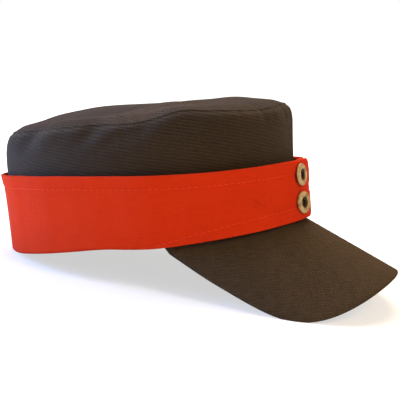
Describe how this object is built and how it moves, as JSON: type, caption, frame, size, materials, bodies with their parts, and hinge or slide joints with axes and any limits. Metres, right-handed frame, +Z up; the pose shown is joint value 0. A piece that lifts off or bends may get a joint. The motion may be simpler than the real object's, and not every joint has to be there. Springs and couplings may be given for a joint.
{
  "type": "alpine hunting hat",
  "caption": "Peaked alpine hunting cap: soft brown canvas crown with oval top, wide orange-red flap turned up all round and buttoned at the front, and a long arched peak.",
  "frame": {"origin": "middle of the footprint on the surface that the cap rests on", "axes": "+X to the front of the cap, +Y to the wearer's left, +Z up; the cap rests nose up on its peak and the back of its flap, so its head opening faces down and forward"},
  "size_m": [0.284, 0.1832, 0.1286],
  "materials": {
    "canvas": "matte ribbed cotton canvas",
    "flap_cloth": "matte brushed cotton",
    "horn": "satin horn with a dark dished middle"
  },
  "bodies": {
    "root": {"crown_side": "canvas", "crown_top": "canvas", "turn_up_flap": "flap_cloth", "peak": "canvas", "button_upper": "horn", "button_lower": "horn"}
  },
  "joints": []
}
